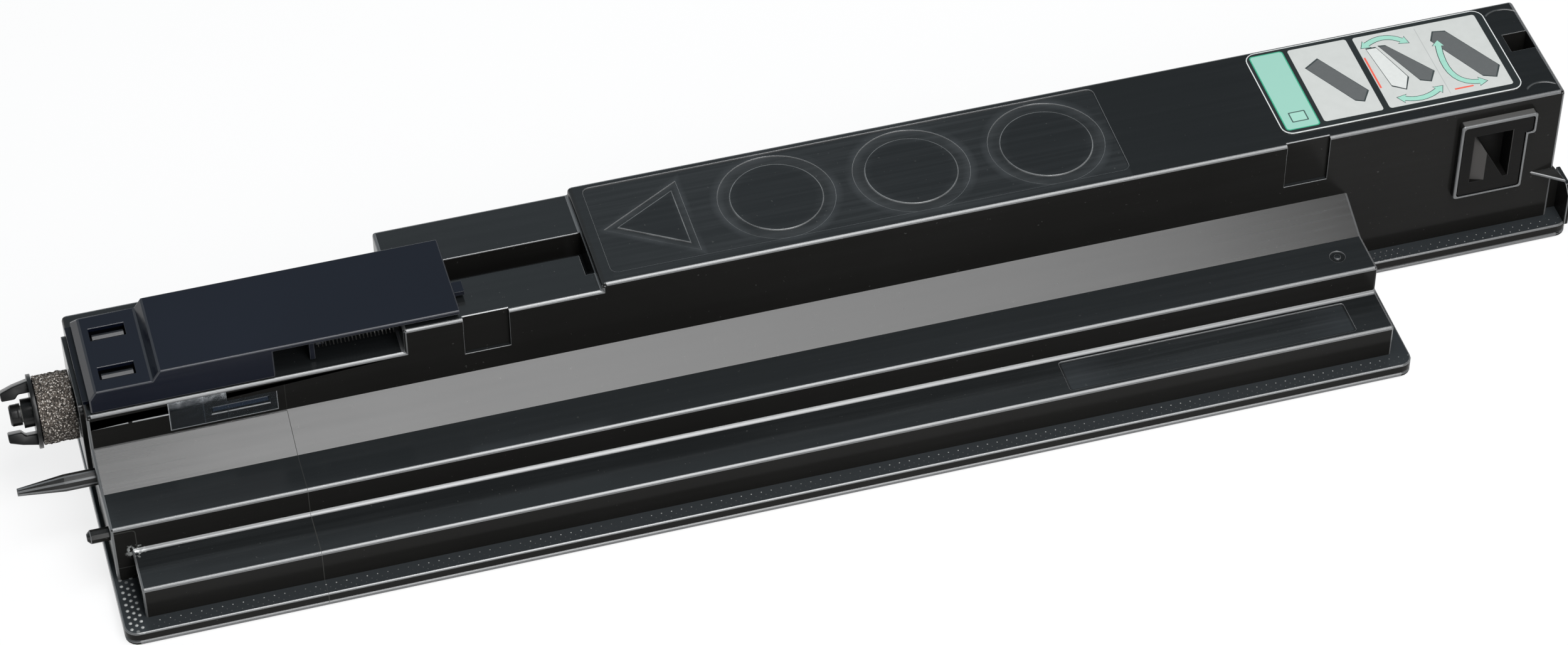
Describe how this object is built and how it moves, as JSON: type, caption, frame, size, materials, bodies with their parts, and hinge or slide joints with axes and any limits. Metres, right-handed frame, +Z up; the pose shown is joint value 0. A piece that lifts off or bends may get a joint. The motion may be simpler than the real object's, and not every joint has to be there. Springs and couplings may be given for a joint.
{
  "type": "waste toner container",
  "caption": "Long terraced waste toner container with a spring-loaded sliding inlet shutter, a clawed drive coupling, a conveying screw and a plugged clean-out port.",
  "frame": {"origin": "middle of the flat base on the surface that it rests on, halfway between the tank's end walls", "axes": "+X along the container towards its labelled end, +Y towards the tall rear wall, +Z up"},
  "size_m": [0.4781, 0.0923, 0.0574],
  "materials": {
    "shell_plastic": "glossy black moulded plastic",
    "gasket_sponge": "fine closed-cell sponge",
    "spring_steel": "drawn spring wire",
    "shutter_plastic": "blue-black moulded plastic",
    "clear_tape": "clear adhesive tape",
    "bush_plastic": "self-lubricating white plastic",
    "seal_felt": "grey felt",
    "sponge": "open-cell sponge, dark brown",
    "plug_plastic": "matte soft black plastic",
    "label_film": "printed film label",
    "carrier_plastic": "black moulded plastic",
    "screw_plastic": "natural moulded plastic",
    "coupling_plastic": "black moulded plastic"
  },
  "bodies": {
    "container": {"shell": "shell_plastic", "base_cover": "shell_plastic", "inlet_gasket": "gasket_sponge", "shutter_spring": "spring_steel", "lock_tab": "shutter_plastic", "shutter_tape": "clear_tape", "drive_bush": "bush_plastic", "shaft_seal": "seal_felt", "tail_bush": "bush_plastic", "coupling_foam": "sponge", "port_plug": "plug_plastic", "port_gasket": "seal_felt", "instruction_label": "label_film"},
    "shutter": {"inlet_shutter": "shutter_plastic", "seal_carrier": "carrier_plastic"},
    "drive": {"conveyor": "screw_plastic", "drive_coupling": "coupling_plastic", "coupling_retainer": "coupling_plastic"}
  },
  "joints": [
    {"name": "shutter_slide", "type": "slide", "parent": "container", "child": "shutter", "axis": [1, 0, 0], "range_m": [0, 0.0235], "stiffness_N_per_m": 250, "springref_m": -0.008, "deforming": ["shutter_spring"]},
    {"name": "auger_spin", "type": "hinge", "parent": "container", "child": "drive", "pos_m": [0, 0.0242, 0.0303], "axis": [1, 0, 0], "continuous": true}
  ]
}
